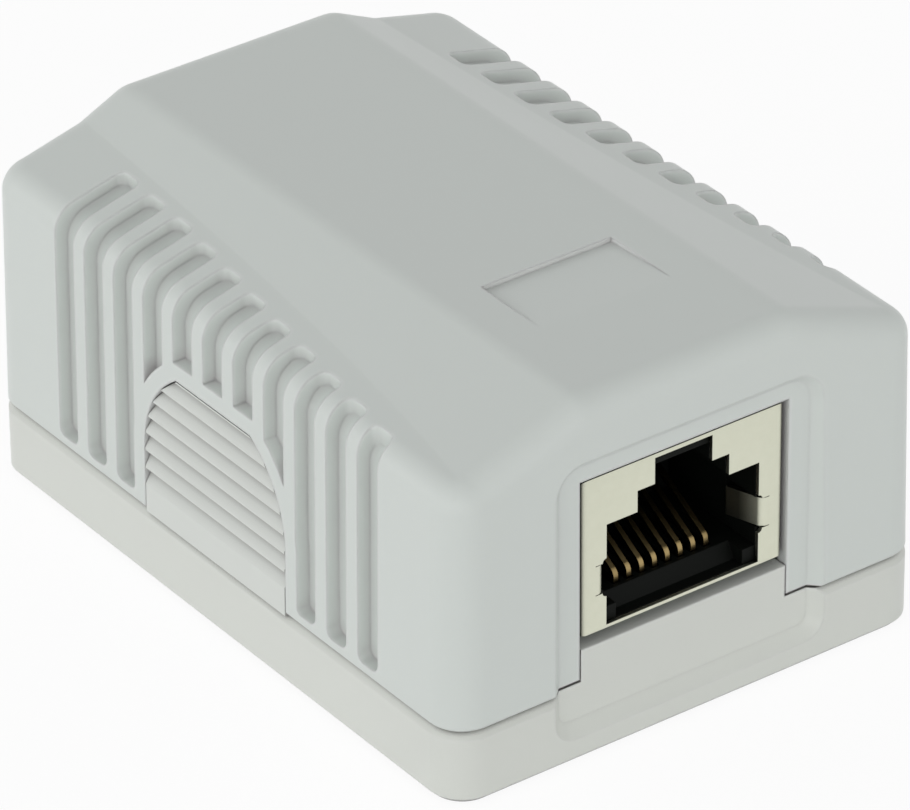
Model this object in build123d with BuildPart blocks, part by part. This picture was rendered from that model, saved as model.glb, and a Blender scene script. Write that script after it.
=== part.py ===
from build123d import *
import math
import os

os.makedirs("parts", exist_ok=True)

# Surface mount jack box with one shielded eight-way jack, in millimetres.
# Front (jack face) towards -Y, +Z up, origin at the bottom centre.

# Outer form
box_width = 37.2
box_depth = 51.6
box_height = 26.0
split_height = 5.2
split_gap = 0.15
corner_radius = 2.5
cover_draft = 0.8
rim_chamfer = 0.45
cover_lip_chamfer = 0.2
foot_chamfer = 0.4

# Roof form: flat crown, twisted band and a flat shoulder that narrows towards the front
crown_half = 8.35
crown_blend = 2.5
foot_half_back = 11.7
foot_half_mid = 12.7
foot_half_front = 17.4
edge_drop_back = 3.3
edge_drop_front = 3.55
shoulder_slope = 0.25
mid_section_y = 9.5
roof_edge_radius = 2.0

# Walls
wall = 1.8
roof_thickness = 1.9
floor_thickness = 2.0

# Grooves in both sides
groove_count = 11
groove_pitch = 3.35
groove_width = 2.1
groove_depth = 0.9
groove_bottom = 6.15
groove_foot_margin = 0.7
groove_arch_margin = 1.25
groove_end_radius = 0.6

# Arched windows and their louvre panels
arch_radius = 7.85
arch_centre_height = 10.1
arch_top_height = 16.8
panel_clearance = 0.08
panel_drop = 0.12
panel_flange = 1.2
panel_flange_thickness = 0.9
panel_flange_gap = 0.03
panel_lip_gap = 0.35
slat_count = 7
slat_pitch = 1.35
slat_first_height = 7.15
slat_depth = 0.6
slat_nose = 0.16

# Framed recess in the front
frame_side_margin = 2.7
frame_top_margin = 2.24
frame_bottom = 1.75
frame_depth = 0.85
frame_top_radius = 2.5
frame_bottom_radius = 1.6
frame_wall_angle = 45.0

# Label mark on the crown, deepest at its back edge
label_width = 10.2
label_length = 6.2
label_back_y = -10.6
label_depth = 0.35

# Jack
jack_width = 16.0
jack_height = 11.36
jack_length = 17.0
jack_face_inset = 1.0
shield_thickness = 0.3
slot_clearance = 0.2
housing_roof = 0.7
finger_gap = 0.05
sill_ramp = 0.6
plug_half_width = 6.0
plug_bottom_strip = 0.22
plug_height = 7.4
step_half_width = 3.6
step_height = 1.55
notch_half_width = 2.25
finger_height = 2.2
finger_bottom = 2.65
finger_notch = 0.3
finger_bend = 0.55
finger_relief = 0.3
finger_length = 2.6
finger_reach = 0.9
finger_pocket = 0.7
shield_corner = 0.5
shield_leg_width = 1.5
shield_leg_setback = 12.3
shield_leg_reach = 1.0
shield_leg_clearance = 0.15
plug_depth = 12.6
housing_clearance = 0.05
comb_length = 2.2
comb_height = 5.5
comb_chamfer = 0.6
comb_engagement = 0.8
comb_slot_bottom = 3.0
comb_clearance = 0.05
cavity_floor_rise = 1.3
cavity_sill = 1.2
cavity_rail = 1.0

# Contact wires
contact_count = 8
contact_pitch = 1.02
contact_wire = 0.36
contact_front = 2.4
contact_front_height = 1.9
contact_rise = 4.3
contact_run = 7.6
contact_tail_inset = 1.65
contact_tail_step = 1.8
contact_bend = 0.45
contact_channel = 0.62
contact_low_height = 0.7
tail_hole_diameter = 0.9

# Board
board_thickness = 1.6
board_rise = 3.15
board_side_clearance = 1.3
board_back_clearance = 5.3
board_nose_clearance = 0.4
board_nose_spare = 0.5
board_front_clearance = 0.3
hole_sides = 8
post_diameter = 5.0
board_screw_inset = 2.4
board_screw_rise = 9.6
screw_diameter = 2.5
screw_hole_clearance = 0.2
screw_head_diameter = 4.4
screw_head_height = 1.6
screw_length = 5.0
screw_pilot_clearance = 0.03
screw_pilot_spare = 0.4
screw_head_bevel = 0.5
screw_drive_width = 0.6
screw_drive_depth = 0.7

# Punch-down terminal blocks
block_inset = 6.1
block_gap = 1.2
block_width = 5.6
block_height = 9.6
way_count = 4
way_pitch = 4.2
block_end = 0.9
block_chamfer = 0.6
wire_slot_width = 1.3
wire_slot_depth = 5.2
wire_slot_lead = 1.2
blade_width = 2.4
blade_thickness = 0.5
blade_height = 6.6
blade_recess = 1.2
blade_gap = 0.35
blade_lead = 0.5
blade_fork_depth = 4.0
blade_clearance = 0.05
pin_width = 0.7
pin_reach = 1.0
pin_hole_diameter = 1.1
pin_clearance = 0.15

# Cover posts and their pins
cover_post_side_inset = 3.7
cover_post_end_inset = 3.5
cover_post_diameter = 4.6
pin_diameter = 2.4
pin_fit = 0.05
pin_height = 3.2
post_seat_gap = 0.2

# Ribs under the roof that keep the jack down
rib_gap = 0.2
rib_length = 12.0
rib_thickness = 1.2
jack_rib_front = 4.8
jack_rib_back = 12.8

# Base details
lip_height = 1.4
lip_thickness = 1.0
lip_corner_radius = 0.9
lip_clearance = 0.1
tongue_gap = 0.8
tongue_thickness = 1.5
tongue_clearance = 0.1
keyhole_spacing = 22.0
keyhole_front_y = -13.0
keyhole_head = 7.0
keyhole_neck = 3.8
keyhole_travel = 5.0
tie_inset = 2.3
tie_width = 9.0
tie_length = 3.0
tie_height = 3.6
tie_slot_width = 4.6
tie_slot_height = 2.0

# Derived places
cover_bottom = split_height + split_gap
front_y = -box_depth / 2
frame_floor_y = front_y + frame_depth
jack_face_y = front_y + jack_face_inset
inner_half_width = box_width / 2 - wall
inner_half_depth = box_depth / 2 - wall
board_top = split_height + board_rise
board_bottom = board_top - board_thickness
jack_bottom = board_top
jack_top = jack_bottom + jack_height
plug_bottom = jack_bottom + plug_bottom_strip
notch_height = jack_height - shield_thickness - plug_bottom_strip
lip_top = split_height + lip_height
tray_half_width = inner_half_width - lip_clearance - lip_thickness
tray_half_depth = inner_half_depth - lip_clearance - lip_thickness
board_front_y = -tray_half_depth + board_front_clearance
board_back_y = tray_half_depth - board_back_clearance
board_half_width = tray_half_width - board_side_clearance
board_screw_x = board_half_width - board_screw_inset
board_screw_front_y = jack_face_y + board_screw_rise
board_screw_back_y = board_back_y - board_screw_inset
cover_post_x = inner_half_width - cover_post_side_inset
cover_post_y = inner_half_depth - cover_post_end_inset
board_nose_half_width = cover_post_x - cover_post_diameter / 2 - board_nose_clearance
board_nose_back_y = cover_post_diameter / 2 + board_nose_spare - cover_post_y
block_length = way_count * way_pitch + 2 * block_end
block_x = board_half_width - block_inset
block_centre_y = jack_face_y + jack_length + block_gap + block_length / 2
frame_half_width = jack_width / 2 + frame_side_margin
frame_top = jack_top + frame_top_margin
tongue_top = jack_bottom - tongue_gap
tie_y = tray_half_depth - tie_inset
shield_leg_y = jack_face_y + shield_leg_setback
contact_xs = [(n - (contact_count - 1) / 2) * contact_pitch for n in range(contact_count)]
way_ys = [block_centre_y + (n - (way_count - 1) / 2) * way_pitch for n in range(way_count)]
contact_bend_y = jack_face_y + contact_front
contact_low_z = jack_bottom + contact_low_height
cavity_floor_z = jack_bottom + cavity_floor_rise
finger_middle = jack_bottom + finger_bottom + finger_height / 2
tail_back_y = jack_face_y + jack_length - shield_thickness - contact_tail_inset
pin_bottom = board_bottom - pin_reach
blade_bottom = board_top + block_height - blade_height - blade_recess
screw_places = [
    (-board_screw_x, board_screw_front_y),
    (board_screw_x, board_screw_front_y),
    (-board_screw_x, board_screw_back_y),
    (board_screw_x, board_screw_back_y),
]
over = 4.0


def edge_drop_at(y):
    """Fall of the shoulder's outer edge below the crown, at a station along Y."""
    share = (y - front_y) / box_depth
    return edge_drop_front + share * (edge_drop_back - edge_drop_front)


def foot_half_at(y):
    """Half width between the band feet, at a station along Y."""
    if y > mid_section_y:
        share = (y - mid_section_y) / (-front_y - mid_section_y)
        return foot_half_mid + share * (foot_half_back - foot_half_mid)
    share = (mid_section_y - y) / (mid_section_y - front_y)
    return foot_half_mid + share * (foot_half_front - foot_half_mid)


def band_section(y):
    """Region over the right band at one station: it leaves the crown in an arc."""
    foot_half = foot_half_at(y)
    foot_drop = edge_drop_at(y) - shoulder_slope * (box_width / 2 - foot_half)
    slope = foot_drop / (foot_half - crown_half)
    angle = math.atan(slope)
    reach = box_width / 2 + over
    start_x = crown_half - crown_blend * math.tan(angle / 2)

    def arc_point(turn):
        fall = crown_blend * (1 - math.cos(turn))
        return (start_x + crown_blend * math.sin(turn), box_height - fall)

    ThreePointArc(arc_point(0), arc_point(angle / 2), arc_point(angle))
    Polyline(
        arc_point(angle),
        (reach, box_height - slope * (reach - crown_half)),
        (reach, box_height + over),
        (start_x, box_height + over),
        arc_point(0),
    )


# Roof cutter: what is taken off over the right band and shoulder, from front to back
with BuildPart() as roof_cutter:
    for station in (front_y - over, mid_section_y, over - front_y):
        with BuildSketch(Plane.XZ.offset(-station)):
            with BuildLine():
                band_section(station)
            make_face()
    loft(ruled=True)
    shoulder_tilt = (edge_drop_front - edge_drop_back) / box_depth
    shoulder_plane = Plane(
        origin=(box_width / 2, 0, box_height - edge_drop_at(0)),
        z_dir=(shoulder_slope, -shoulder_tilt, 1),
    )
    split(bisect_by=shoulder_plane, keep=Keep.TOP)

# Roof form: a block without what lies over the bands and shoulders of both sides
with BuildPart() as roof_form:
    with BuildSketch(Plane.XY.offset(-over)):
        Rectangle(box_width + 2 * over, box_depth + 2 * over)
    extrude(amount=box_height + over)
    add(roof_cutter.part, mode=Mode.SUBTRACT)
    add(roof_cutter.part.mirror(Plane.YZ), mode=Mode.SUBTRACT)

# Outside of the cover
with BuildPart() as outer_form:
    with BuildSketch(Plane.XY.offset(cover_bottom)):
        RectangleRounded(box_width, box_depth, corner_radius)
    extrude(amount=box_height - cover_bottom + over, taper=cover_draft)
    add(roof_form.part, mode=Mode.INTERSECT)
    top_rim = outer_form.edges().filter_by(
        lambda e: e.center().Z > box_height - edge_drop_front - 2
        and (
            abs(e.center().X) > box_width / 2 - corner_radius
            or abs(e.center().Y) > box_depth / 2 - corner_radius
        )
        and e.bounding_box().size.Z < 6
    )
    fillet(top_rim, roof_edge_radius)

# Inside of the cover
with BuildPart() as inner_form:
    with BuildSketch(Plane.XY.offset(cover_bottom)):
        Rectangle(2 * inner_half_width, 2 * inner_half_depth)
    extrude(amount=box_height - cover_bottom + over, taper=cover_draft)
    add(roof_form.part.moved(Location((0, 0, -roof_thickness))), mode=Mode.INTERSECT)


# Form of the groove floors, one groove depth inside the cover, as long as the groove field
with BuildPart() as groove_floor_form:
    with BuildSketch(Plane.XY.offset(split_height - over)):
        Rectangle(box_width - 2 * groove_depth, groove_count * groove_pitch)
    extrude(amount=box_height - split_height + 2 * over, taper=cover_draft)
    add(roof_form.part.moved(Location((0, 0, -groove_depth))), mode=Mode.INTERSECT)
    side_rim = groove_floor_form.edges().filter_by(
        lambda e: e.center().Z > box_height - edge_drop_front - groove_depth - 2
        and abs(e.center().X) > box_width / 2 - corner_radius
        and e.length > box_depth / 4
    )
    fillet(side_rim, roof_edge_radius)


def arch_outline(margin):
    """Arched outline in the YZ plane, grown by a margin, open at its foot."""
    radius = arch_radius + margin
    top = arch_top_height + margin
    half_top = math.sqrt(radius**2 - (top - arch_centre_height) ** 2)
    turn = math.degrees(math.asin((top - arch_centre_height) / radius)) / 2
    side_y = radius * math.cos(math.radians(turn))
    side_z = arch_centre_height + radius * math.sin(math.radians(turn))
    Polyline(
        (-radius, arch_centre_height),
        (-radius, -over),
        (radius, -over),
        (radius, arch_centre_height),
    )
    ThreePointArc((radius, arch_centre_height), (side_y, side_z), (half_top, top))
    Line((half_top, top), (-half_top, top))
    ThreePointArc((-half_top, top), (-side_y, side_z), (-radius, arch_centre_height))


# Groove cutter: slots down both sides that stop clear of the arched windows
groove_stations = [(k - (groove_count - 1) / 2) * groove_pitch for k in range(groove_count)]
with BuildPart() as groove_cutter:
    for station in groove_stations:
        for side in (-1, 1):
            end_x = foot_half_at(station) + groove_foot_margin
            reach_x = box_width / 2 + over - end_x
            with BuildPart(mode=Mode.PRIVATE) as slot:
                with Locations((side * (end_x + reach_x / 2), station, groove_bottom)):
                    Box(
                        reach_x,
                        groove_width,
                        box_height,
                        align=(Align.CENTER, Align.CENTER, Align.MIN),
                    )
                foot_corners = slot.faces().sort_by(Axis.Z)[0].edges().filter_by(Axis.X)
                top_end = slot.faces().sort_by(Axis.X)[0 if side > 0 else -1]
                fillet(foot_corners + top_end.edges().filter_by(Axis.Z), groove_end_radius)
            add(slot.part)
    add(groove_floor_form.part, mode=Mode.SUBTRACT)
    with BuildSketch(Plane.YZ):
        with BuildLine():
            arch_outline(groove_arch_margin)
        make_face()
    extrude(amount=box_width, both=True, mode=Mode.SUBTRACT)

# Arched windows through both side walls
with BuildPart() as window_cutter:
    with BuildSketch(Plane.YZ):
        with BuildLine():
            arch_outline(0)
        make_face()
    extrude(amount=box_width, both=True)
    Box(2 * inner_half_width - 2 * wall, box_depth, 4 * box_height, mode=Mode.SUBTRACT)

# Shallow frame round the jack, shared by cover and base
with BuildPart() as frame_cutter:
    with BuildSketch(Plane.XZ.offset(box_depth / 2)):
        with Locations((0, (frame_bottom + frame_top) / 2)):
            Rectangle(2 * frame_half_width, frame_top - frame_bottom)
        fillet(vertices().group_by(Axis.Y)[0], frame_bottom_radius)
        fillet(vertices().group_by(Axis.Y)[-1], frame_top_radius)
    extrude(amount=-frame_depth, taper=frame_wall_angle)

# Label mark: a wedge that runs out towards the front
with BuildPart() as label_cutter:
    with BuildSketch(Plane.YZ):
        with BuildLine():
            Polyline(
                (label_back_y, box_height - label_depth),
                (label_back_y, box_height + 1),
                (label_back_y - label_length, box_height + 1),
                (label_back_y - label_length, box_height),
                close=True,
            )
        make_face()
    extrude(amount=label_width / 2, both=True)

# Cover
with BuildPart() as cover:
    add(outer_form.part)
    cover_foot = cover.faces().sort_by(Axis.Z)[0].edges()
    chamfer(cover_foot, cover_lip_chamfer)
    add(inner_form.part, mode=Mode.SUBTRACT)
    # sockets that drop over the base pins
    with BuildSketch(Plane.XY.offset(cover_bottom + post_seat_gap)):
        with GridLocations(2 * cover_post_x, 2 * cover_post_y, 2, 2):
            Circle(cover_post_diameter / 2)
    extrude(until=Until.NEXT)
    with BuildSketch(Plane.XY.offset(cover_bottom + post_seat_gap)):
        with GridLocations(2 * cover_post_x, 2 * cover_post_y, 2, 2):
            Circle(pin_diameter / 2 + pin_fit)
    extrude(amount=pin_height + 1, mode=Mode.SUBTRACT)
    add(groove_cutter.part, mode=Mode.SUBTRACT)
    add(window_cutter.part, mode=Mode.SUBTRACT)
    add(frame_cutter.part, mode=Mode.SUBTRACT)
    add(label_cutter.part, mode=Mode.SUBTRACT)
    # jack slot, open at the foot
    with BuildSketch(Plane.XZ.offset(box_depth / 2 + 1)):
        with Locations((0, jack_top + slot_clearance)):
            Rectangle(
                jack_width + 2 * slot_clearance,
                box_height,
                align=(Align.CENTER, Align.MAX),
            )
    extrude(amount=-wall - 2, mode=Mode.SUBTRACT)
    # ribs that keep the jack down
    with BuildSketch(Plane.XY.offset(jack_top + rib_gap)):
        with Locations((0, jack_face_y + jack_rib_front), (0, jack_face_y + jack_rib_back)):
            Rectangle(rib_length, rib_thickness)
    extrude(until=Until.NEXT)
cover.part.label = "cover"
export_step(cover.part, "parts/cover.step")


# Slat cutter: sloping faces that run in from a sharp lower edge
with BuildPart() as slat_cutter:
    for n in range(slat_count):
        low = slat_first_height + n * slat_pitch
        high = low + slat_pitch
        low_x = -box_width / 2 + (low - cover_bottom) * math.tan(math.radians(cover_draft))
        high_x = -box_width / 2 + (high - cover_bottom) * math.tan(math.radians(cover_draft))
        with BuildSketch(Plane.XZ):
            with BuildLine():
                Polyline(
                    (low_x, low + slat_nose),
                    (high_x + slat_depth, high),
                    (high_x - over, high),
                    (low_x - over, low + slat_nose),
                    close=True,
                )
            make_face()
        extrude(amount=arch_radius, both=True)

# Louvre panels: an arched plug in the window and a flange behind the wall
with BuildPart() as louvre_panel_left:
    with BuildSketch(Plane.YZ.offset(-inner_half_width)):
        with BuildLine():
            arch_outline(panel_flange)
        make_face()
    extrude(amount=panel_flange_thickness)
    with BuildSketch(Plane.XY.offset(cover_bottom)):
        Rectangle(2 * (inner_half_width - panel_flange_gap), box_depth)
    extrude(amount=box_height, taper=cover_draft, mode=Mode.INTERSECT)
    with BuildSketch(Plane.YZ.offset(-box_width / 2)):
        with BuildLine():
            arch_outline(-panel_clearance)
        make_face()
    extrude(amount=wall + panel_flange_thickness)
    # clear of the base lip, and trimmed to the drafted face of the cover
    with BuildSketch(Plane.XY.offset(-over)):
        with Locations((-inner_half_width, 0)):
            Rectangle(box_width / 2, box_depth, align=(Align.MIN, Align.CENTER))
    extrude(amount=over + lip_top + panel_lip_gap, mode=Mode.SUBTRACT)
    with BuildSketch(Plane.XY.offset(cover_bottom - panel_drop)):
        Rectangle(box_width, box_depth)
    extrude(amount=box_height, taper=cover_draft, mode=Mode.INTERSECT)
    add(slat_cutter.part, mode=Mode.SUBTRACT)
louvre_panel_left.part.label = "louvre_panel_left"
export_step(louvre_panel_left.part, "parts/louvre_panel_left.step")

with BuildPart() as louvre_panel_right:
    add(louvre_panel_left.part.mirror(Plane.YZ))
louvre_panel_right.part.label = "louvre_panel_right"
export_step(louvre_panel_right.part, "parts/louvre_panel_right.step")

# Base: tray with a lip inside the cover, posts, pins, keyholes and the front tongue
with BuildPart() as base:
    with BuildSketch():
        RectangleRounded(box_width, box_depth, corner_radius)
    extrude(amount=split_height)
    rim = base.faces().sort_by(Axis.Z)[-1].edges()
    chamfer(rim, rim_chamfer)
    foot = base.faces().sort_by(Axis.Z)[0].edges()
    chamfer(foot, foot_chamfer)
    with BuildSketch(Plane.XY.offset(split_height)):
        RectangleRounded(
            2 * (inner_half_width - lip_clearance),
            2 * (inner_half_depth - lip_clearance),
            lip_corner_radius,
        )
    extrude(amount=lip_height)
    with BuildSketch(Plane.XY.offset(floor_thickness)):
        RectangleRounded(2 * tray_half_width, 2 * tray_half_depth, lip_corner_radius)
    extrude(amount=box_height, mode=Mode.SUBTRACT)
    # tongue that fills the foot of the jack slot
    with BuildSketch(Plane.XY.offset(floor_thickness)):
        with Locations((0, frame_floor_y)):
            Rectangle(
                jack_width + 2 * (slot_clearance - tongue_clearance),
                tongue_thickness,
                align=(Align.CENTER, Align.MIN),
            )
    extrude(amount=tongue_top - floor_thickness)
    add(frame_cutter.part, mode=Mode.SUBTRACT)
    # posts for the board and for the cover
    with BuildSketch(Plane.XY.offset(floor_thickness)):
        with Locations(*screw_places):
            Circle(post_diameter / 2)
    extrude(amount=board_bottom - floor_thickness)
    with BuildSketch(Plane.XY.offset(floor_thickness)):
        with GridLocations(2 * cover_post_x, 2 * cover_post_y, 2, 2):
            Circle(cover_post_diameter / 2)
    extrude(amount=cover_bottom - floor_thickness)
    with BuildSketch(Plane.XY.offset(cover_bottom)):
        with GridLocations(2 * cover_post_x, 2 * cover_post_y, 2, 2):
            Circle(pin_diameter / 2)
    extrude(amount=pin_height)
    with BuildSketch(Plane.XY.offset(board_bottom)):
        with Locations(*screw_places):
            Circle(screw_diameter / 2 + screw_pilot_clearance)
    extrude(amount=-(screw_length - board_thickness + screw_pilot_spare), mode=Mode.SUBTRACT)
    # cable tie anchor at the back
    with BuildSketch(Plane.XY.offset(floor_thickness)):
        with Locations((0, tie_y)):
            Rectangle(tie_width, tie_length)
    extrude(amount=tie_height)
    with BuildSketch(Plane.XZ.offset(-tie_y)):
        with Locations((0, floor_thickness)):
            Rectangle(tie_slot_width, tie_slot_height, align=(Align.CENTER, Align.MIN))
    extrude(amount=tie_length, both=True, mode=Mode.SUBTRACT)
    # keyholes for wall screws
    with BuildSketch(Plane.XY):
        for centre in (keyhole_front_y, keyhole_front_y + keyhole_spacing):
            with Locations((0, centre)):
                Circle(keyhole_head / 2)
            with Locations((0, centre + keyhole_travel / 2)):
                SlotCenterToCenter(keyhole_travel, keyhole_neck, rotation=90)
    extrude(amount=floor_thickness, mode=Mode.SUBTRACT)
base.part.label = "base"
export_step(base.part, "parts/base.step")


# Nickel shell of the jack, open below, with two side fingers folded into the mouth
with BuildPart() as jack_shield:
    with BuildSketch(Plane.XY.offset(jack_bottom)):
        with Locations((0, jack_face_y)):
            Rectangle(jack_width, jack_length, align=(Align.CENTER, Align.MIN))
    extrude(amount=jack_height)
    upright_edges = jack_shield.edges().filter_by(Axis.Z)
    roof_edges = jack_shield.faces().sort_by(Axis.Z)[-1].edges().filter_by(Axis.Y)
    fillet(upright_edges + roof_edges, shield_corner)
    with BuildSketch(Plane.XY.offset(jack_bottom)):
        with Locations((0, jack_face_y + shield_thickness)):
            Rectangle(
                jack_width - 2 * shield_thickness,
                jack_length - 2 * shield_thickness,
                align=(Align.CENTER, Align.MIN),
            )
    extrude(amount=jack_height - shield_thickness, mode=Mode.SUBTRACT)
    # stepped opening for the plug with its latch notch and the finger notches
    with BuildSketch(Plane.XZ.offset(-jack_face_y)):
        with Locations((0, plug_bottom)):
            Rectangle(2 * plug_half_width, plug_height, align=(Align.CENTER, Align.MIN))
            Rectangle(2 * step_half_width, plug_height + step_height, align=(Align.CENTER, Align.MIN))
            Rectangle(2 * notch_half_width, notch_height, align=(Align.CENTER, Align.MIN))
        with Locations((0, jack_bottom + finger_bottom)):
            Rectangle(
                2 * (plug_half_width + finger_notch + finger_bend),
                finger_height,
                align=(Align.CENTER, Align.MIN),
            )
        with Locations((0, finger_middle)):
            with GridLocations(2 * plug_half_width, finger_height, 2, 2):
                Circle(finger_relief)
    extrude(amount=shield_thickness * 1.5, both=True, mode=Mode.SUBTRACT)
    with BuildSketch(Plane.XY.offset(jack_bottom + finger_bottom + finger_gap)):
        for side in (-1, 1):
            root = side * (plug_half_width + finger_notch)
            tip = root - side * finger_reach
            with BuildLine():
                Polyline(
                    (root + side * (finger_bend + finger_gap), jack_face_y),
                    (root, jack_face_y),
                    (tip, jack_face_y + finger_length),
                    (tip + side * shield_thickness, jack_face_y + finger_length),
                    (root + side * shield_thickness, jack_face_y + shield_thickness),
                    (root + side * (finger_bend + finger_gap), jack_face_y + shield_thickness),
                    close=True,
                )
            make_face()
        finger_roots = vertices().filter_by(
            lambda v: abs(v.Y - jack_face_y) < finger_gap
            and abs(v.X) < plug_half_width + finger_notch + finger_gap
        )
        fillet(finger_roots, finger_bend)
    extrude(amount=finger_height - 2 * finger_gap)
    with BuildSketch(Plane.XY.offset(jack_bottom)):
        for side in (-1, 1):
            with Locations((side * (jack_width - shield_thickness) / 2, shield_leg_y)):
                Rectangle(shield_thickness, shield_leg_width)
    extrude(amount=-(board_thickness + shield_leg_reach))
jack_shield.part.label = "jack_shield"
export_step(jack_shield.part, "parts/jack_shield.step")

# Black body of the jack with the plug cavity and the wire channels
with BuildPart() as jack_housing:
    with BuildSketch(Plane.XY.offset(jack_bottom)):
        with Locations((0, jack_face_y + shield_thickness + housing_clearance)):
            Rectangle(
                jack_width - 2 * shield_thickness - 2 * housing_clearance,
                jack_length - 2 * shield_thickness - 2 * housing_clearance,
                align=(Align.CENTER, Align.MIN),
            )
    extrude(amount=jack_height - shield_thickness - housing_clearance)
    with BuildSketch(Plane.XZ.offset(-jack_face_y)):
        with Locations((0, cavity_floor_z)):
            Rectangle(
                2 * plug_half_width,
                plug_bottom + plug_height - cavity_floor_z,
                align=(Align.CENTER, Align.MIN),
            )
            Rectangle(
                2 * step_half_width,
                plug_bottom + plug_height + step_height - cavity_floor_z,
                align=(Align.CENTER, Align.MIN),
            )
            Rectangle(
                2 * notch_half_width,
                plug_bottom + notch_height - housing_roof - cavity_floor_z,
                align=(Align.CENTER, Align.MIN),
            )
    extrude(amount=-plug_depth, mode=Mode.SUBTRACT)
    # lead-in below the sill
    with BuildSketch(Plane.YZ):
        with BuildLine():
            Polyline(
                (jack_face_y, plug_bottom),
                (jack_face_y + cavity_sill, plug_bottom),
                (jack_face_y + cavity_sill + sill_ramp, cavity_floor_z),
                (jack_face_y, cavity_floor_z),
                close=True,
            )
        make_face()
    extrude(amount=plug_half_width - cavity_rail, both=True, mode=Mode.SUBTRACT)
    # pockets behind the shield fingers
    with Locations((0, jack_face_y, finger_middle)):
        Box(
            2 * (plug_half_width + finger_pocket),
            2 * (finger_length + finger_pocket),
            finger_height + finger_gap,
            mode=Mode.SUBTRACT,
        )
    # wire channels in the floor and holes for the wire tails
    for n, x in enumerate(contact_xs):
        tail_y = tail_back_y - (n % 2) * contact_tail_step
        channel_front = contact_bend_y - contact_channel / 2
        channel_back = tail_y + contact_channel / 2
        with Locations((x, channel_front, contact_low_z - contact_channel / 2)):
            Box(
                contact_channel,
                channel_back - channel_front,
                cavity_floor_z - contact_low_z + contact_channel / 2,
                align=(Align.CENTER, Align.MIN, Align.MIN),
                mode=Mode.SUBTRACT,
            )
        with Locations((x, tail_y, jack_bottom)):
            Box(
                contact_channel,
                contact_channel,
                contact_low_height + contact_channel / 2,
                align=(Align.CENTER, Align.CENTER, Align.MIN),
                mode=Mode.SUBTRACT,
            )
jack_housing.part.label = "jack_housing"
export_step(jack_housing.part, "parts/jack_housing.step")

# Comb that guides the free ends of the wires
comb_front_y = contact_bend_y + contact_run - comb_engagement
with BuildPart() as contact_comb:
    with BuildSketch(Plane.XY.offset(cavity_floor_z)):
        with Locations((0, comb_front_y)):
            Rectangle(
                2 * (plug_half_width - comb_clearance),
                comb_length,
                align=(Align.CENTER, Align.MIN),
            )
    extrude(amount=comb_height)
    comb_top = contact_comb.faces().sort_by(Axis.Z)[-1].edges().sort_by(Axis.Y)[0]
    chamfer(comb_top, comb_chamfer)
    for x in contact_xs:
        with Locations((x, comb_front_y, cavity_floor_z + comb_slot_bottom)):
            Box(
                contact_channel,
                2 * (comb_engagement + contact_wire),
                comb_height,
                align=(Align.CENTER, Align.CENTER, Align.MIN),
                mode=Mode.SUBTRACT,
            )
contact_comb.part.label = "contact_comb"
export_step(contact_comb.part, "parts/contact_comb.step")

# Eight spring wires, bent from one section each
for n, x in enumerate(contact_xs):
    tail_y = tail_back_y - (n % 2) * contact_tail_step
    with BuildPart() as contact:
        with BuildLine(Plane.YZ.offset(x)) as wire_path:
            FilletPolyline(
                (contact_bend_y + contact_run, jack_bottom + contact_front_height + contact_rise),
                (contact_bend_y, jack_bottom + contact_front_height),
                (contact_bend_y, contact_low_z),
                (tail_y, contact_low_z),
                (tail_y, pin_bottom),
                radius=contact_bend,
            )
        with BuildSketch(Plane(origin=wire_path.line @ 0, z_dir=wire_path.line % 0)):
            Rectangle(contact_wire, contact_wire)
        sweep(path=wire_path.line)
    contact.part.label = f"contact_{n + 1}"
    export_step(contact.part, f"parts/contact_{n + 1}.step")

# Circuit board, narrower at the front between the cover posts
with BuildPart() as circuit_board:
    with BuildSketch(Plane.XY.offset(board_bottom)):
        with BuildLine():
            Polyline(
                (-board_nose_half_width, board_front_y),
                (board_nose_half_width, board_front_y),
                (board_nose_half_width, board_nose_back_y),
                (board_half_width, board_nose_back_y),
                (board_half_width, board_back_y),
                (-board_half_width, board_back_y),
                (-board_half_width, board_nose_back_y),
                (-board_nose_half_width, board_nose_back_y),
                close=True,
            )
        make_face()
        with Locations(*screw_places):
            Circle(screw_diameter / 2 + screw_hole_clearance, mode=Mode.SUBTRACT)
        for n, x in enumerate(contact_xs):
            with Locations((x, tail_back_y - (n % 2) * contact_tail_step)):
                RegularPolygon(tail_hole_diameter / 2, hole_sides, mode=Mode.SUBTRACT)
        for side in (-1, 1):
            for way_y in way_ys:
                with Locations((side * block_x, way_y)):
                    RegularPolygon(pin_hole_diameter / 2, hole_sides, mode=Mode.SUBTRACT)
            with Locations((side * (jack_width - shield_thickness) / 2, shield_leg_y)):
                Rectangle(
                    shield_thickness + 2 * shield_leg_clearance,
                    shield_leg_width + 2 * shield_leg_clearance,
                    mode=Mode.SUBTRACT,
                )
    extrude(amount=board_thickness)
circuit_board.part.label = "circuit_board"
export_step(circuit_board.part, "parts/circuit_board.step")

# Pan head screws of the board, as one group
with BuildPart() as board_screws:
    with BuildSketch(Plane.XY.offset(board_top)):
        with Locations(*screw_places):
            Circle(screw_head_diameter / 2)
    extrude(amount=screw_head_height)
    head_rims = board_screws.faces().group_by(Axis.Z)[-1].edges()
    chamfer(head_rims, screw_head_bevel)
    with BuildSketch(Plane.XY.offset(board_top)):
        with Locations(*screw_places):
            Circle(screw_diameter / 2)
    extrude(amount=-screw_length)
    with Locations(*[(px, py, board_top + screw_head_height) for px, py in screw_places]):
        Box(
            screw_head_diameter,
            screw_drive_width,
            2 * screw_drive_depth,
            mode=Mode.SUBTRACT,
        )
board_screws.part.label = "board_screws"
export_step(board_screws.part, "parts/board_screws.step")

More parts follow.
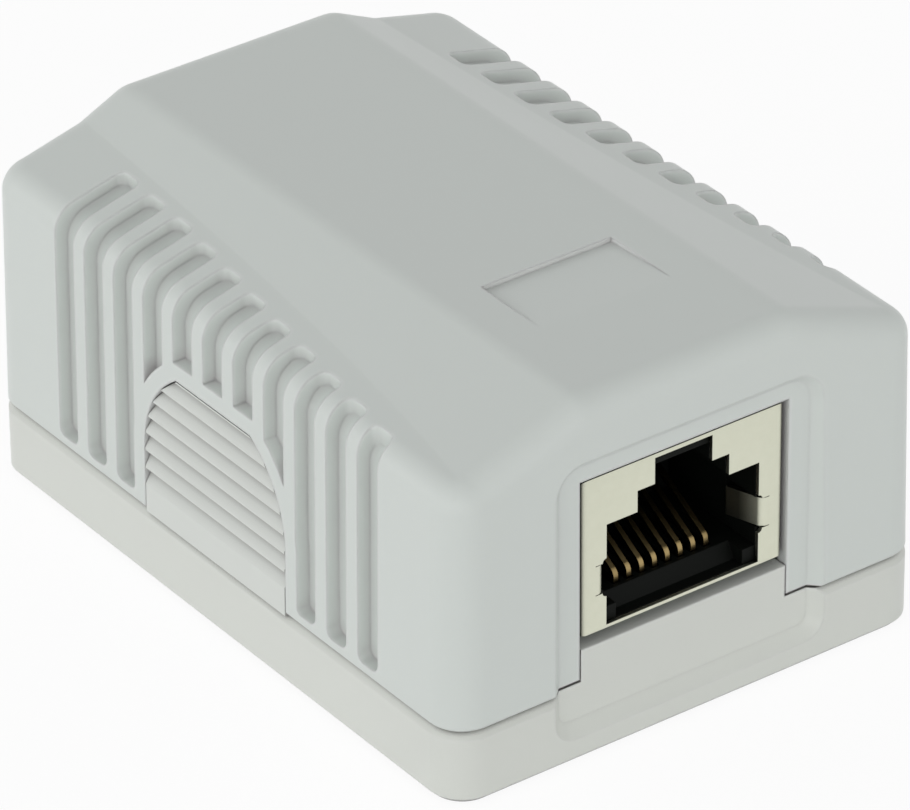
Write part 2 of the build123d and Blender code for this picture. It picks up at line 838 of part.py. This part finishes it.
# Punch-down blocks, one each side, and their forked blades
for side, side_name, first_terminal in ((-1, "left", 1), (1, "right", 1 + way_count)):
    with BuildPart() as terminal_block:
        with BuildSketch(Plane.XY.offset(board_top)):
            with Locations((side * block_x, block_centre_y)):
                Rectangle(block_width, block_length)
        extrude(amount=block_height)
        block_rim = terminal_block.faces().sort_by(Axis.Z)[-1].edges().filter_by(Axis.Y)
        chamfer(block_rim, block_chamfer)
        for way_y in way_ys:
            with BuildSketch(Plane.YZ.offset(side * block_x)):
                with BuildLine():
                    Polyline(
                        (way_y - wire_slot_width / 2, board_top + block_height - wire_slot_depth),
                        (way_y + wire_slot_width / 2, board_top + block_height - wire_slot_depth),
                        (way_y + wire_slot_width / 2, board_top + block_height - wire_slot_lead),
                        (way_y + wire_slot_width, board_top + block_height + 0.01),
                        (way_y - wire_slot_width, board_top + block_height + 0.01),
                        (way_y - wire_slot_width / 2, board_top + block_height - wire_slot_lead),
                        close=True,
                    )
                make_face()
            extrude(amount=block_width, both=True, mode=Mode.SUBTRACT)
            with Locations((side * block_x, way_y, blade_bottom)):
                Box(
                    blade_thickness + 2 * blade_clearance,
                    blade_width + 2 * blade_clearance,
                    block_height,
                    align=(Align.CENTER, Align.CENTER, Align.MIN),
                    mode=Mode.SUBTRACT,
                )
            with Locations((side * block_x, way_y, board_top)):
                Box(
                    blade_thickness + 2 * blade_clearance,
                    pin_width + 2 * pin_clearance,
                    blade_bottom - board_top,
                    align=(Align.CENTER, Align.CENTER, Align.MIN),
                    mode=Mode.SUBTRACT,
                )
    terminal_block.part.label = f"terminal_block_{side_name}"
    export_step(terminal_block.part, f"parts/terminal_block_{side_name}.step")
    for n, way_y in enumerate(way_ys):
        with BuildPart() as terminal:
            with BuildSketch(Plane.YZ.offset(side * block_x)):
                with Locations((way_y, blade_bottom)):
                    Rectangle(blade_width, blade_height, align=(Align.CENTER, Align.MIN))
                with Locations((way_y, blade_bottom + blade_height)):
                    Rectangle(
                        blade_gap,
                        2 * blade_fork_depth,
                        mode=Mode.SUBTRACT,
                    )
                with Locations((way_y, blade_bottom)):
                    Rectangle(
                        pin_width,
                        blade_bottom - pin_bottom,
                        align=(Align.CENTER, Align.MAX),
                    )
                fork_tips = vertices().group_by(Axis.Y)[-1].sort_by(Axis.X)
                chamfer([fork_tips[1], fork_tips[2]], blade_lead)
            extrude(amount=blade_thickness / 2, both=True)
        terminal.part.label = f"terminal_{first_terminal + n}"
        export_step(terminal.part, f"parts/terminal_{first_terminal + n}.step")
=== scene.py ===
"""Finishes, studio and camera for the surface mount jack box."""
import math

import bmesh
import bpy
from mathutils import Matrix, Vector


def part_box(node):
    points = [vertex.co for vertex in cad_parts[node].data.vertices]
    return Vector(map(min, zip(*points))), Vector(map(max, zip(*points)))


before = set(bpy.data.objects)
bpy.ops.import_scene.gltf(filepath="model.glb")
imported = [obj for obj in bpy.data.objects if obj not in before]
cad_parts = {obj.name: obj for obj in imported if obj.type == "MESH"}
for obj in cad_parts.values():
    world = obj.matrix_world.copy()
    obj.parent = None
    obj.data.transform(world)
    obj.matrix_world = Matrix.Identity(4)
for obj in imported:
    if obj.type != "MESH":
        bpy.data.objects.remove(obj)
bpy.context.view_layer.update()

MM = 0.001

# Camera of the photograph: pixels, degrees and millimetres
PHOTO_WIDTH_PX = 910
FOCAL_PX = 7469.0
SENSOR_WIDTH = 36.0
AZIMUTH = -35.97
ELEVATION = 31.73
ROLL = -0.53
DISTANCE = 490.1
AIM_RIGHT = 0.32
AIM_UP = 8.66
CLIP_END_M = 10

# Light: brightness overhead and of the low panels, which fade out with height
OVERHEAD = 0.335
LEFT_PANEL = 1.16
FRONT_PANEL = 0.79
BACK_PANEL = 0.46
RIGHT_PANEL = 0.17
PANEL_STOPS = [(0.0, 1), (0.35, 1), (0.6, 0)]

# Floor: how much of its real shadow shows, and the two looks it is mixed from
SHADOW_SHARE = 0.15
FLOOR_WHITE = (0.85, 0.85, 0.85, 1)
FLOOR_GLOW = 1.07
FLOOR_HALF_SIDE_M = 3

# Surface patterns: lumps a metre, height in millimetres, and how far the roughness strays
CLOUD_SCALE = 350
SKIN_SCALE = 5200
BUMP_STRENGTH = 0.12
SKIN_HEIGHT = 0.02
GRAIN_HEIGHT = 0.01
CLOUD_STRAY = 0.03
GRAIN_STRAY = 0.05

# How many rays round an edge, and how many feel a gap
EDGE_RAYS = 4
GAP_RAYS = 5

# Painted shade in gaps of plastic: its brightness as a share of the colour, where no shade colour
# is given
PAINTED_SHADE_SHARE = 0.3

# Painted highlight on the rims of the moulded pieces: reach inwards in millimetres, and where it
# starts and ends
RIM_HIGHLIGHT_REACH = (0.3, 0.45, 0.95)

# Lower edge of the cover, in millimetres, as in the part's source, and the band above it where a
# shadow line is painted dark
COVER_BOTTOM = 5.35
SEAM_SHADOW = (COVER_BOTTOM + 0.005, COVER_BOTTOM + 0.05)

# Slats of the louvre panels, in millimetres, as in the part's source, and the stops of the painted
# shade where each slat dips under the next
SLAT_LOW = 7.15
SLAT_PITCH = 1.35
SLAT_COUNT = 7
SLAT_SHADE_STOPS = [(0.0, 1), (0.45, 0.90), (1.0, 0.30)]

# Fingers of the shield: how far behind its face painted shade dims them, and the shell's margin,
# in millimetres
FINGER_SHADE_REACH = 6.0
SHELL_MARGIN = 0.6
FINGER_SHADE_STOPS = [(0.0, 1), (0.05, 1), (0.28, 0.1)]

# Colours of the two moulded halves, and of the painted shade in the cover's grooves and in the
# gaps
COVER = (0.790, 0.838, 0.804)
COVER_CLOUD = (0.800, 0.848, 0.814)
COVER_GROOVE_SHADE = (0.60, 0.575, 0.58)
BASE = (0.828, 0.852, 0.80)
BASE_CLOUD = (0.838, 0.862, 0.81)
PAINTED_GAP_SHADE = (0.10, 0.09, 0.085)

CONTACTS = [f"contact_{n}" for n in range(1, 9)]
TERMINALS = [f"terminal_{n}" for n in range(1, 9)]
BLOCKS = ["terminal_block_left", "terminal_block_right"]
LOUVRES = ["louvre_panel_left", "louvre_panel_right"]


class Value:
    """A number socket that takes arithmetic and adds its Math nodes."""

    def __init__(self, finish, socket):
        self.finish = finish
        self.socket = socket

    def _math(self, operation, *terms):
        return self.finish.node(
            "ShaderNodeMath", {"operation": operation}, dict(enumerate(terms))
        )

    def __add__(self, other):
        return self._math("ADD", self, other)

    __radd__ = __add__

    def __mul__(self, other):
        return self._math("MULTIPLY", self, other)

    __rmul__ = __mul__

    def __sub__(self, other):
        return self._math("SUBTRACT", self, other)

    def __rsub__(self, other):
        return self._math("SUBTRACT", other, self)

    def __abs__(self):
        return self._math("ABSOLUTE", self)

    def fraction(self):
        """What is left over whole numbers."""
        return self._math("FRACT", self)

    def over(self, level):
        """1 where it is over a level, 0 elsewhere."""
        return self._math("GREATER_THAN", self, level)

    def at_least(self, other):
        """The larger of the two."""
        return self._math("MAXIMUM", self, other)


class Finish:
    """A material, or the world, built node by node."""

    def __init__(self, name, tree=None):
        if tree is None:
            self.material = bpy.data.materials.new(name)
            self.material.use_nodes = True
            tree = self.material.node_tree
        self.tree = tree
        tree.nodes.clear()

    def node(self, kind, settings=None, inputs=None, output=0):
        """Adds a node: its settings first, then the values or links of its sockets."""
        made = self.tree.nodes.new(kind)
        for key, setting in (settings or {}).items():
            if key == "stops":
                ramp = made.color_ramp
                while len(ramp.elements) < len(setting):
                    ramp.elements.new(0.5)
                for element, (place, level) in zip(ramp.elements, setting):
                    element.position = place
                    element.color = (level, level, level, 1)
            else:
                setattr(made, key, setting)
        for key, value in (inputs or {}).items():
            socket = made.inputs[key]
            if isinstance(value, Value):
                self.tree.links.new(value.socket, socket)
            else:
                socket.default_value = value
        return Value(self, made.outputs[output])

    def ramp(self, value, stops):
        """A number led through stops of place and level."""
        return self.node("ShaderNodeValToRGB", {"stops": stops}, {0: value})

    def place(self, scale=(1, 1, 1)):
        """Object coordinates, in metres, scaled."""
        where = self.node("ShaderNodeTexCoord", output="Object")
        return self.node("ShaderNodeMapping", {}, {"Vector": where, "Scale": scale})

    def along(self, axis):
        """Place along one axis, in metres."""
        return self.node("ShaderNodeSeparateXYZ", {}, {0: self.place()}, axis)

    def noise(self, scale, detail, stretch=(1, 1, 1)):
        """Soft noise from 0 to 1."""
        inputs = {"Vector": self.place(stretch), "Scale": scale, "Detail": detail}
        return self.node("ShaderNodeTexNoise", {}, inputs, "Fac")

    def tone(self, colour, other, mask):
        """Mix of two colours, written or worked out, by a mask."""
        inputs = {"Factor": mask}
        for key, value in ((6, colour), (7, other)):
            inputs[key] = value if isinstance(value, Value) else (*value, 1)
        return self.node("ShaderNodeMix", {"data_type": "RGBA"}, inputs, 2)

    def band(self, low, high):
        """1 between two heights in millimetres."""
        height = self.along("Z")
        return height.over(low * MM) - height.over(high * MM)

    def open_air(self, reach, closed, clear, inside=False):
        """1 in the open and 0 deep in a gap; reach is how far walls count, in millimetres."""
        settings = {"samples": GAP_RAYS, "inside": inside}
        air = self.node("ShaderNodeAmbientOcclusion", settings, {"Distance": reach * MM}, "AO")
        return self.ramp(air, [(closed, 0), (clear, 1)])

    def relief(self, edge, pattern, height):
        """Shading normal with soft edges and a raised pattern, both in millimetres."""
        rounded = self.node("ShaderNodeBevel", {"samples": EDGE_RAYS}, {"Radius": edge * MM})
        inputs = {"Strength": BUMP_STRENGTH, "Distance": height * MM}
        return self.node("ShaderNodeBump", {}, {**inputs, "Height": pattern, "Normal": rounded})

    def surface(self, shader):
        """Joins a shader to the output."""
        output = self.tree.nodes.new("ShaderNodeOutputMaterial")
        self.tree.links.new(shader.socket, output.inputs["Surface"])
        return self.material

    def unseen(self):
        """1 for light that falls on a surface, 0 for what the camera and reflections see."""
        shown = self.node("ShaderNodeLightPath", output="Is Camera Ray")
        for way in ("Is Glossy Ray", "Is Transmission Ray"):
            shown = shown.at_least(self.node("ShaderNodeLightPath", output=way))
        return 1 - shown


def painted_slat_light(finish):
    """Painted shade of the louvre slats: 1 at the nose of each slat, falling where it dips under
    the next.
    """
    turns = (finish.along("Z") - SLAT_LOW * MM) * (1 / (SLAT_PITCH * MM))
    light = finish.ramp(turns.fraction(), SLAT_SHADE_STOPS)
    slats = finish.band(SLAT_LOW, SLAT_LOW + SLAT_COUNT * SLAT_PITCH)
    return 1 - slats * (1 - light)


def painted_finger_light(finish):
    """Painted shade of the shield: 1 on its shell and face, falling along the fingers that bend
    into the jack.
    """
    low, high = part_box("jack_shield")
    depth = finish.along("Y") - low[1]
    beside = abs(finish.along("X")).over(high[0] - SHELL_MARGIN * MM)
    on_top = finish.along("Z").over(high[2] - SHELL_MARGIN * MM)
    behind = depth.over(FINGER_SHADE_REACH * MM)
    light = finish.ramp(depth * (1 / (FINGER_SHADE_REACH * MM)), FINGER_SHADE_STOPS)
    return 1 - (1 - beside) * (1 - on_top) * (1 - behind) * (1 - light)


def moulded(
    name,
    colour,
    cloud_colour,
    roughness,
    edge=0.22,
    gap=(0.6, 0.1, 0.65),
    painted_shade=None,
    rim_highlight=0,
    gloss=0.5,
    slats=False,
    seam_shadow=None,
):
    """Moulded plastic: soft edges, fine skin grain, faint clouds, painted shade in gaps, and where
    asked a painted highlight on rims, painted shade on slats and a painted shadow line at the
    seam.
    """
    finish = Finish(name)
    cloud = finish.noise(CLOUD_SCALE, 3)
    skin = finish.noise(SKIN_SCALE, 2)
    # Colour of the painted shade in gaps: a share of the body colour unless given
    painted_shade = painted_shade or tuple(PAINTED_SHADE_SHARE * part for part in colour)
    body = finish.tone(colour, cloud_colour, cloud)
    # Painted highlight: edges paled where inward ambient occlusion finds open air
    if rim_highlight:
        pale = tuple(part + rim_highlight * (1 - part) for part in colour)
        body = finish.tone(pale, body, finish.open_air(*RIM_HIGHLIGHT_REACH, inside=True))
    # Painted shade: darker where each slat dips under the next
    if slats:
        body = finish.tone(painted_shade, body, painted_slat_light(finish))
    # Painted shadow line: a dark band at the cover's lower edge
    if seam_shadow:
        body = finish.tone(body, PAINTED_GAP_SHADE, finish.band(*seam_shadow))
    # The base colour falls to the painted shade colour deep in gaps
    inputs = {
        "Base Color": finish.tone(painted_shade, body, finish.open_air(*gap)),
        "Roughness": roughness - CLOUD_STRAY + 2 * CLOUD_STRAY * cloud,
        "Specular IOR Level": gloss,
        "IOR": 1.5,
        "Normal": finish.relief(edge, skin, SKIN_HEIGHT),
    }
    return finish.surface(finish.node("ShaderNodeBsdfPrincipled", {}, inputs))


def plated(
    name,
    colour,
    worn_colour,
    roughness,
    stretch,
    scale=900,
    edge=0.06,
    gap=(2.0, 0.1, 0.6),
    depth=0.25,
    fingers=False,
):
    """Plated or rolled metal with a faint drawn grain, and painted shade where it lies deep."""
    finish = Finish(name)
    grain = finish.noise(scale, 3, stretch)
    # Colour of the painted shade: the depth share of the colour
    painted_shade = tuple(depth * part for part in colour)
    body = finish.tone(colour, worn_colour, grain)
    # Painted shade along the shield's fingers
    if fingers:
        body = finish.tone(painted_shade, body, painted_finger_light(finish))
    # The base colour falls to the painted shade colour where the metal lies deep
    inputs = {
        "Base Color": finish.tone(painted_shade, body, finish.open_air(*gap)),
        "Metallic": 1.0,
        "Roughness": roughness - GRAIN_STRAY + 2 * GRAIN_STRAY * grain,
        "Normal": finish.relief(edge, grain, GRAIN_HEIGHT),
    }
    return finish.surface(finish.node("ShaderNodeBsdfPrincipled", {}, inputs))


def dress(names, material):
    """Gives CAD nodes their finish."""
    for name in names:
        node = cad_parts[name]
        node.data.materials.clear()
        node.data.materials.append(material)


def dress_housing():
    """Cover, base and louvre panels."""
    # Cover: painted shade in its grooves, a painted highlight on its rims and a painted shadow
    # line at its lower edge
    look = {"edge": 0.3, "gap": (1.1, 0.0, 0.92), "painted_shade": COVER_GROOVE_SHADE, "rim_highlight": 0.6, "seam_shadow": SEAM_SHADOW}
    dress(["cover"], moulded("cover_abs", COVER, COVER_CLOUD, 0.33, **look))
    # Base: dark painted shade in the gap at the split, and a painted highlight on its rims
    look = {"gap": (0.5, 0.3, 0.8), "painted_shade": PAINTED_GAP_SHADE, "rim_highlight": 0.4}
    dress(["base"], moulded("base_abs", BASE, BASE_CLOUD, 0.34, **look))
    # Louvre panels: painted shade in gaps and where each slat dips under the next
    look = {"edge": 0.04, "gap": (1.0, 0.25, 0.85), "painted_shade": (0.28, 0.27, 0.26), "slats": True}
    dress(LOUVRES, moulded("louvre_abs", (0.82, 0.85, 0.81), (0.83, 0.86, 0.82), 0.36, **look))


def dress_jack():
    """Shield, housing, comb and contacts."""
    bright, worn = (0.70, 0.71, 0.585), (0.67, 0.68, 0.555)
    # Shield: painted shade deep in the jack and along its fingers
    look = {"gap": (7.0, 0.5, 0.85), "depth": 0.06, "fingers": True}
    dress(["jack_shield"], plated("shield_nickel", bright, worn, 0.42, (1, 1, 1), 1600, **look))
    black, grey = (0.003, 0.004, 0.003), (0.005, 0.006, 0.005)
    # Jack housing and comb keep the default painted shade in their gaps
    look = {"edge": 0.08, "gloss": 0.1}
    dress(["jack_housing"], moulded("jack_black", black, grey, 0.55, **look))
    black, grey = (0.004, 0.005, 0.004), (0.006, 0.007, 0.006)
    dress(["contact_comb"], moulded("comb_black", black, grey, 0.55, **look))
    bright, worn = (0.50, 0.37, 0.17), (0.43, 0.32, 0.145)
    # Contacts: painted shade where they lie deep in the jack
    look = {"gap": (8.0, 0.35, 0.95), "depth": 0.05}
    dress(CONTACTS, plated("contact_gold", bright, worn, 0.34, (1, 0.1, 1), **look))


def dress_board():
    """Terminals, screws, blocks and circuit board."""
    # Terminals, screws, blocks and board take the default painted shade in their gaps
    bright, worn = (0.80, 0.80, 0.78), (0.72, 0.72, 0.70)
    dress(TERMINALS, plated("terminal_tin", bright, worn, 0.34, (1, 1, 0.1)))
    bright, worn = (0.72, 0.73, 0.74), (0.64, 0.65, 0.66)
    dress(["board_screws"], plated("screw_zinc", bright, worn, 0.34, (1, 1, 1)))
    pale, light = (0.74, 0.74, 0.72), (0.77, 0.77, 0.75)
    dress(BLOCKS, moulded("block_plastic", pale, light, 0.45, edge=0.1))
    green, light = (0.018, 0.13, 0.055), (0.022, 0.15, 0.065)
    dress(["circuit_board"], moulded("board_mask", green, light, 0.32, edge=0.05))


def camera_axes():
    """Right, up and back directions of the photograph's camera."""
    azimuth = math.radians(AZIMUTH)
    elevation = math.radians(ELEVATION)
    roll = math.radians(ROLL)
    back = Vector(
        (
            math.sin(azimuth) * math.cos(elevation),
            -math.cos(azimuth) * math.cos(elevation),
            math.sin(elevation),
        )
    )
    level = Vector((math.cos(azimuth), math.sin(azimuth), 0))
    rise = back.cross(level)
    right = math.cos(roll) * level + math.sin(roll) * rise
    return right, math.cos(roll) * rise - math.sin(roll) * level, back


def add_camera():
    """Camera at the photograph's place, with its focal length."""
    data = bpy.data.cameras.new("photo_camera")
    data.sensor_width = SENSOR_WIDTH
    data.lens = SENSOR_WIDTH * FOCAL_PX / PHOTO_WIDTH_PX
    data.clip_end = CLIP_END_M
    camera = bpy.data.objects.new("photo_camera", data)
    bpy.context.scene.collection.objects.link(camera)
    right, rise, back = camera_axes()
    place = (AIM_RIGHT * right + AIM_UP * rise + DISTANCE * back) * MM
    turn = Matrix((right, rise, back)).transposed().to_4x4()
    camera.matrix_world = Matrix.Translation(place) @ turn
    bpy.context.scene.camera = camera


def add_floor():
    """Pale floor, white to the camera and in reflections, with the object's soft shadow."""
    mesh = bpy.data.meshes.new("floor")
    shape = bmesh.new()
    bmesh.ops.create_grid(shape, x_segments=1, y_segments=1, size=FLOOR_HALF_SIDE_M)
    shape.to_mesh(mesh)
    shape.free()
    floor = bpy.data.objects.new("floor", mesh)
    bpy.context.scene.collection.objects.link(floor)
    finish = Finish("floor_white")
    matte = finish.node("ShaderNodeBsdfDiffuse", {}, {"Color": FLOOR_WHITE})
    glow = finish.node("ShaderNodeEmission", {}, {"Color": (1, 1, 1, 1), "Strength": FLOOR_GLOW})
    share = SHADOW_SHARE + (1 - SHADOW_SHARE) * finish.unseen()
    mixed = finish.node("ShaderNodeMixShader", {}, {"Fac": share, 1: glow, 2: matte})
    mesh.materials.append(finish.surface(mixed))


def light_studio():
    """Plain world light: even overhead, with soft panels of light low down on each side."""
    world = bpy.data.worlds.new("studio")
    bpy.context.scene.world = world
    world.use_nodes = True
    sky = Finish("studio", world.node_tree)
    where = sky.node("ShaderNodeTexCoord", output="Generated")
    across, along, height = (
        sky.node("ShaderNodeSeparateXYZ", {}, {0: where}, axis) for axis in "XYZ"
    )
    panels = LEFT_PANEL * (-1 * across).at_least(0.0) + FRONT_PANEL * (-1 * along).at_least(0.0)
    panels = panels + BACK_PANEL * along.at_least(0.0) + RIGHT_PANEL * across.at_least(0.0)
    lit = OVERHEAD + sky.ramp(height, PANEL_STOPS) * panels
    seen = lit.at_least(1 - sky.unseen())
    light = sky.node("ShaderNodeBackground", {}, {"Color": seen, "Strength": 1.0})
    output = sky.tree.nodes.new("ShaderNodeOutputWorld")
    sky.tree.links.new(light.socket, output.inputs["Surface"])


dress_housing()
dress_jack()
dress_board()
add_camera()
add_floor()
light_studio()
bpy.context.scene.view_settings.view_transform = "Standard"
